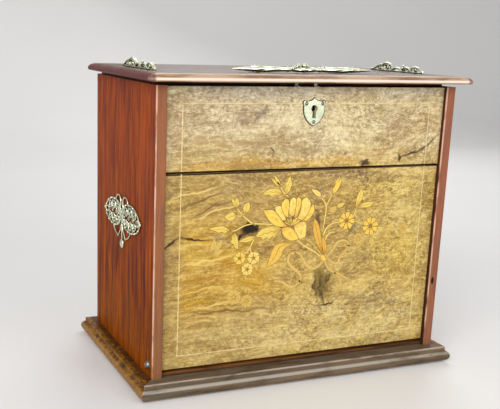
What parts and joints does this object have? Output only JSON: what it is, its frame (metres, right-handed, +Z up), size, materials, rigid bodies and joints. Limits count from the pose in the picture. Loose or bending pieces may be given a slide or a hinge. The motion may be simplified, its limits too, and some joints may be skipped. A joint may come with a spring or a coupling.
{
  "type": "stationery cabinet",
  "caption": "Upright walnut stationery cabinet with a lift-up lid, a drop-down inlaid writing front, moulded plinth, brass lock, carrying handle and pierced mounts.",
  "frame": {"origin": "under the middle of the plinth, on the surface the cabinet stands on", "axes": "+X to the cabinet's right as seen from the front, +Y to its back, +Z up"},
  "size_m": [0.372, 0.233, 0.3318],
  "materials": {
    "case_walnut": "red-brown french polish, upright grain",
    "burr_walnut": "faded golden figured veneer, polished",
    "moulding_walnut": "dark polished mouldings, rubbed on the edges",
    "inner_wood": "plain mahogany, thin polish",
    "boxwood": "pale inlay, polished flush",
    "brass": "pale worn brass, darkened in the hollows",
    "lock_steel": "dull bright steel",
    "ink_glass": "clear pressed glass",
    "skiver_leather": "dark green skiver"
  },
  "bodies": {
    "case": {"back_board": "inner_wood", "base_bead": "moulding_walnut", "bottom_board": "inner_wood", "drill_pin": "lock_steel", "escutcheon": "brass", "escutcheon_pins": "brass", "flush_bolt_guide": "brass", "flush_bolt_screws": "brass", "hinge_case_leaves": "brass", "hinge_case_screws": "brass", "hinge_pins": "brass", "inkwell_collars": "brass", "inkwell_hinge_pins": "brass", "inkwell_left": "ink_glass", "inkwell_right": "ink_glass", "lock_case": "lock_steel", "lock_plate": "brass", "lock_screws": "brass", "lock_spring": "brass", "mid_floor": "inner_wood", "pen_tray": "inner_wood", "pivot_screws": "brass", "plinth_back": "moulding_walnut", "plinth_front": "moulding_walnut", "plinth_left": "moulding_walnut", "plinth_right": "moulding_walnut", "rack_divider_back": "inner_wood", "rack_divider_front": "inner_wood", "rack_divider_middle": "inner_wood", "side_left": "case_walnut", "side_mount_left": "brass", "side_mount_pins": "brass", "side_mount_right": "brass", "side_right": "case_walnut", "stringing_upper": "boxwood", "upper_front_panel": "burr_walnut"},
    "lid": {"lid_board": "moulding_walnut", "lid_link_plate": "brass", "lid_link_screws": "brass", "hinge_lid_leaves": "brass", "hinge_lid_screws": "brass", "lid_end_mount_left": "brass", "lid_end_mount_right": "brass", "handle_posts": "brass", "handle_nuts": "brass", "handle_pivots": "brass"},
    "handle": {"handle_bail": "brass"},
    "fall": {"fall_panel": "burr_walnut", "stringing_fall": "boxwood", "marquetry_spray": "boxwood", "fall_leather": "skiver_leather", "fall_strike": "brass"},
    "lock_bolt": {"lock_bolt": "brass"},
    "flush_bolt": {"flush_bolt": "brass"},
    "inkwell_cap_left": {"inkwell_cap_left": "brass"},
    "inkwell_cap_right": {"inkwell_cap_right": "brass"}
  },
  "joints": [
    {"name": "lid_hinge", "type": "hinge", "parent": "case", "child": "lid", "pos_m": [0, 0.104, 0.31], "axis": [-1, 0, 0], "range_deg": [0, 100]},
    {"name": "handle_pivot", "type": "hinge", "parent": "lid", "child": "handle", "pos_m": [0, -0.0365, 0.3248], "axis": [-1, 0, 0], "range_deg": [0, 100]},
    {"name": "fall_pivot", "type": "hinge", "parent": "case", "child": "fall", "pos_m": [0, -0.09, 0.0308], "axis": [1, 0, 0], "range_deg": [0, 97.4]},
    {"name": "lock_bolt_slide", "type": "slide", "parent": "case", "child": "lock_bolt", "axis": [-1, 0, 0], "range_m": [0, 0.005]},
    {"name": "flush_bolt_slide", "type": "slide", "parent": "case", "child": "flush_bolt", "axis": [0, 0, 1], "range_m": [-0.008, 0]},
    {"name": "inkwell_cap_left_hinge", "type": "hinge", "parent": "case", "child": "inkwell_cap_left", "pos_m": [-0.126, 0.07825, 0.2739], "axis": [-1, 0, 0], "range_deg": [0, 100]},
    {"name": "inkwell_cap_right_hinge", "type": "hinge", "parent": "case", "child": "inkwell_cap_right", "pos_m": [0.126, 0.07825, 0.2739], "axis": [-1, 0, 0], "range_deg": [0, 100]}
  ]
}
